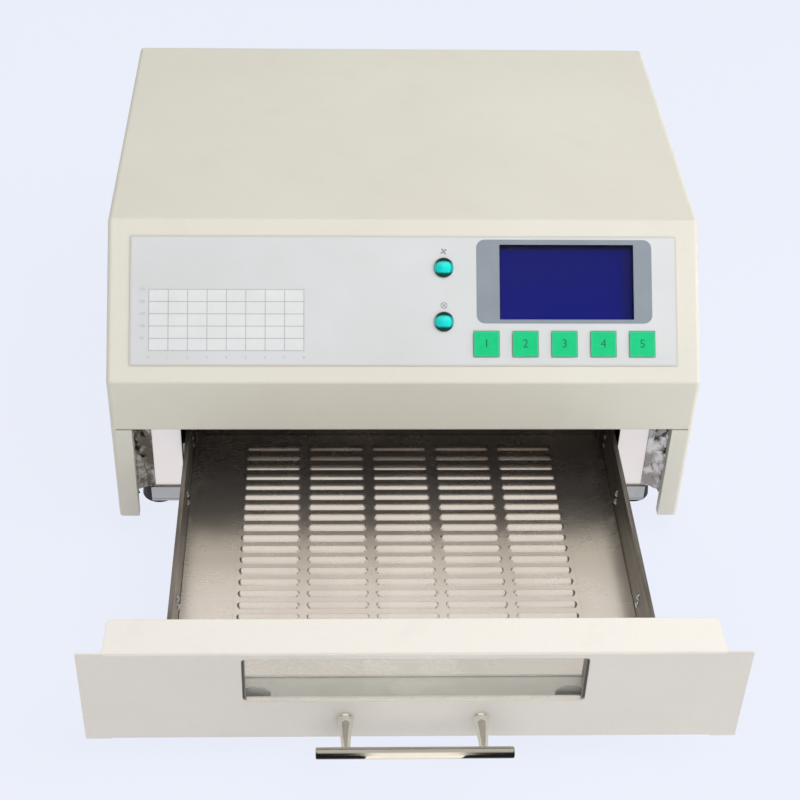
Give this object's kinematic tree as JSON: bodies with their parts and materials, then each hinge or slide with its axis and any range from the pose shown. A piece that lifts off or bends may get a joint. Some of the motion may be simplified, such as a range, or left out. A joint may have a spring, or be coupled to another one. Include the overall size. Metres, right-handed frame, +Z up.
{
  "type": "infrared reflow oven",
  "caption": "Bench-top infrared reflow oven with a sloping control panel above a pull-out drawer, whose louvred tray carries circuit boards under quartz lamps.",
  "frame": {"origin": "on the table, under the middle of the whole part with its drawer drawn out", "axes": "+X to the right as seen from the front, +Y from the handle towards the back, +Z up"},
  "size_m": [0.314, 0.4452, 0.17],
  "materials": {
    "cream_paint": "satin powder coat",
    "light_paint": "satin powder coat",
    "white_paint": "satin powder coat",
    "stainless": "cold-rolled stainless sheet",
    "zinc_steel": "zinc-plated",
    "chrome": "polished chrome plate",
    "aluminium": "bright rolled aluminium",
    "brass": "turned",
    "black_rubber": "moulded rubber",
    "seal": "heat-proof seal",
    "overlay": "fine-textured printed film",
    "key_green": "domed membrane",
    "lens_teal": "translucent lens",
    "black_plastic": "moulded plastic",
    "display_blue": "dark blue liquid crystal panel",
    "clear_window": "clear display window",
    "window_glass": "toughened glass",
    "quartz": "quartz tube with ceramic ends",
    "fibre": "ceramic fibre blanket",
    "board_green": "circuit board",
    "transformer_core": "ferrite core with copper winding"
  },
  "bodies": {
    "casing": {"outer_cover": "cream_paint", "casing_screws": "zinc_steel", "panel_overlay": "overlay", "lcd_window": "clear_window", "lcd_module": "black_plastic", "lcd_screen": "display_blue", "indicator_rings": "black_plastic", "indicator_lenses": "lens_teal", "controller_board": "board_green", "board_pillars": "brass", "base_plate": "zinc_steel", "rear_panel": "cream_paint", "foot_front_left": "black_rubber", "foot_front_right": "black_rubber", "foot_rear_left": "black_rubber", "foot_rear_right": "black_rubber", "foot_screws": "zinc_steel", "front_baffle": "white_paint", "foil_tape": "aluminium", "oven_liner": "stainless", "insulation_blanket": "fibre", "lamp_reflector": "aluminium", "lamp_1": "quartz", "lamp_2": "quartz", "lamp_3": "quartz", "lamp_4": "quartz", "lamp_brackets": "zinc_steel", "rail_left": "zinc_steel", "rail_right": "zinc_steel", "temperature_probes": "stainless", "fan_frame": "black_plastic", "fan_guard": "chrome", "mains_inlet": "black_plastic", "switch_body": "black_plastic", "fuse_holder": "black_plastic", "power_board": "board_green", "transformer": "transformer_core", "heatsink": "aluminium"},
    "drawer": {"drawer_front": "light_paint", "window_glass": "window_glass", "glass_seal": "seal", "glass_clips": "zinc_steel", "inner_panel": "stainless", "tray_frame": "stainless", "louvred_plate": "stainless", "runner_left": "zinc_steel", "runner_right": "zinc_steel", "tray_rivets": "aluminium", "handle_bar": "chrome", "handle_posts": "chrome", "handle_screws": "zinc_steel"},
    "key_1": {"key_1": "key_green"},
    "key_2": {"key_2": "key_green"},
    "key_3": {"key_3": "key_green"},
    "key_4": {"key_4": "key_green"},
    "key_5": {"key_5": "key_green"},
    "fan_rotor": {"fan_rotor": "black_plastic"},
    "power_rocker": {"power_rocker": "black_plastic"}
  },
  "joints": [
    {"name": "drawer_slide", "type": "slide", "parent": "casing", "child": "drawer", "axis": [0, 1, 0], "range_m": [0, 0.158]},
    {"name": "key_1_press", "type": "slide", "parent": "casing", "child": "key_1", "axis": [0, 0.7243, -0.6895], "range_m": [0, 0.0004], "stiffness_N_per_m": 1500, "springref_m": -0.0005},
    {"name": "key_2_press", "type": "slide", "parent": "casing", "child": "key_2", "axis": [0, 0.7243, -0.6895], "range_m": [0, 0.0004], "stiffness_N_per_m": 1500, "springref_m": -0.0005},
    {"name": "key_3_press", "type": "slide", "parent": "casing", "child": "key_3", "axis": [0, 0.7243, -0.6895], "range_m": [0, 0.0004], "stiffness_N_per_m": 1500, "springref_m": -0.0005},
    {"name": "key_4_press", "type": "slide", "parent": "casing", "child": "key_4", "axis": [0, 0.7243, -0.6895], "range_m": [0, 0.0004], "stiffness_N_per_m": 1500, "springref_m": -0.0005},
    {"name": "key_5_press", "type": "slide", "parent": "casing", "child": "key_5", "axis": [0, 0.7243, -0.6895], "range_m": [0, 0.0004], "stiffness_N_per_m": 1500, "springref_m": -0.0005},
    {"name": "fan_spin", "type": "hinge", "parent": "casing", "child": "fan_rotor", "pos_m": [-0.06, 0.20062, 0.08], "axis": [0, 1, 0], "continuous": true},
    {"name": "rocker_tilt", "type": "hinge", "parent": "casing", "child": "power_rocker", "pos_m": [0.062, 0.21522, 0.046], "axis": [1, 0, 0], "range_deg": [-24, 0]}
  ]
}
